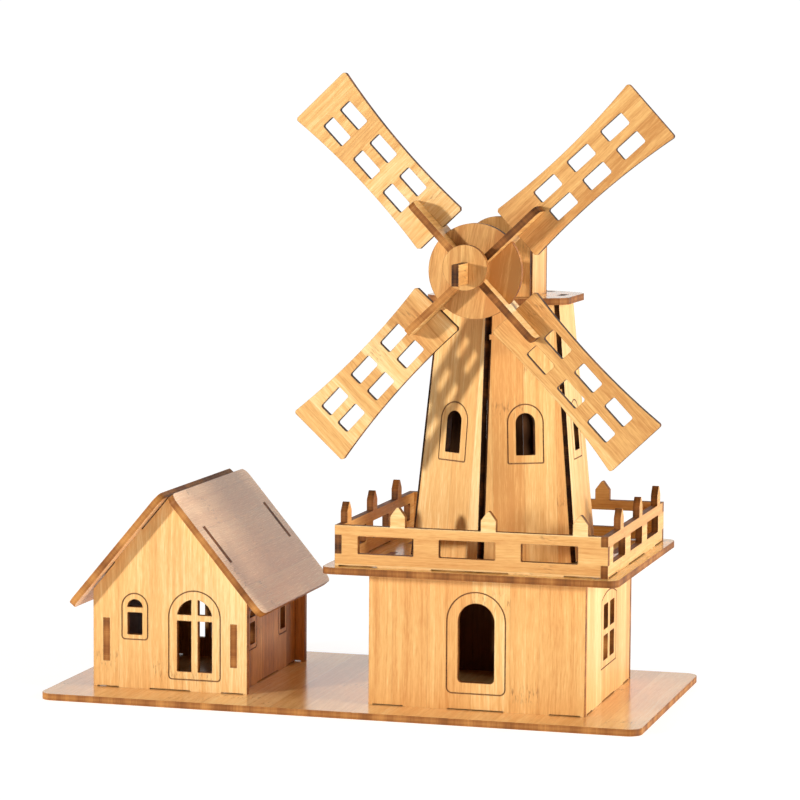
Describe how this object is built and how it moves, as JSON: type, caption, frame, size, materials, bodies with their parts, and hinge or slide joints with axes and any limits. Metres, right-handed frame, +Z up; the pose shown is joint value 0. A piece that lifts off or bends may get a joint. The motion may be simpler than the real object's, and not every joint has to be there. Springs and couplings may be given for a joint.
{
  "type": "windmill and cottage jigsaw model",
  "caption": "Press-together plywood model of a six-sided windmill with turning sails on a balconied block, beside a gabled cottage, on one board.",
  "frame": {"origin": "centre of the base board's underside", "axes": "+Z up, -Y the front, with the doors and the sails, +X to the windmill's side, away from the cottage"},
  "size_m": [0.2779, 0.156, 0.2761],
  "materials": {
    "board_ply": "sanded, unvarnished",
    "wall_ply": "sanded, unvarnished, laser-browned edges",
    "sail_ply": "sanded, unvarnished, laser-browned edges",
    "roof_ply": "sanded, unvarnished, laser-browned edges",
    "burnt_ply": "laser-browned"
  },
  "bodies": {
    "building": {"base_board": "board_ply", "mill_front_wall": "wall_ply", "mill_back_wall": "wall_ply", "mill_left_wall": "wall_ply", "mill_right_wall": "wall_ply", "balcony_deck": "wall_ply", "fence_front": "wall_ply", "fence_back": "wall_ply", "fence_left": "wall_ply", "fence_right": "wall_ply", "tower_panel_right": "wall_ply", "tower_panel_back_right": "wall_ply", "tower_panel_back_left": "wall_ply", "tower_panel_left": "wall_ply", "tower_panel_front_left": "wall_ply", "tower_panel_front_right": "wall_ply", "tower_top_plate": "wall_ply", "cap_front_panel": "wall_ply", "cap_back_panel": "wall_ply", "cap_left_side": "wall_ply", "cap_right_side": "wall_ply", "house_front_wall": "wall_ply", "house_back_wall": "wall_ply", "house_left_wall": "wall_ply", "house_right_wall": "wall_ply", "roof_left_panel": "roof_ply", "roof_right_panel": "roof_ply"},
    "sail_rotor": {"sail_shaft": "burnt_ply", "hub_disc": "sail_ply", "hub_front_washer": "sail_ply", "hub_back_washer": "sail_ply", "hub_fin_upper_right": "burnt_ply", "hub_fin_upper_left": "burnt_ply", "hub_fin_lower_left": "burnt_ply", "hub_fin_lower_right": "burnt_ply", "sail_upper_right": "sail_ply", "sail_upper_left": "sail_ply", "sail_lower_left": "sail_ply", "sail_lower_right": "sail_ply"}
  },
  "joints": [
    {"name": "sail_rotation", "type": "hinge", "parent": "building", "child": "sail_rotor", "pos_m": [0.059, 0, 0.193], "axis": [0, 1, 0], "continuous": true}
  ]
}
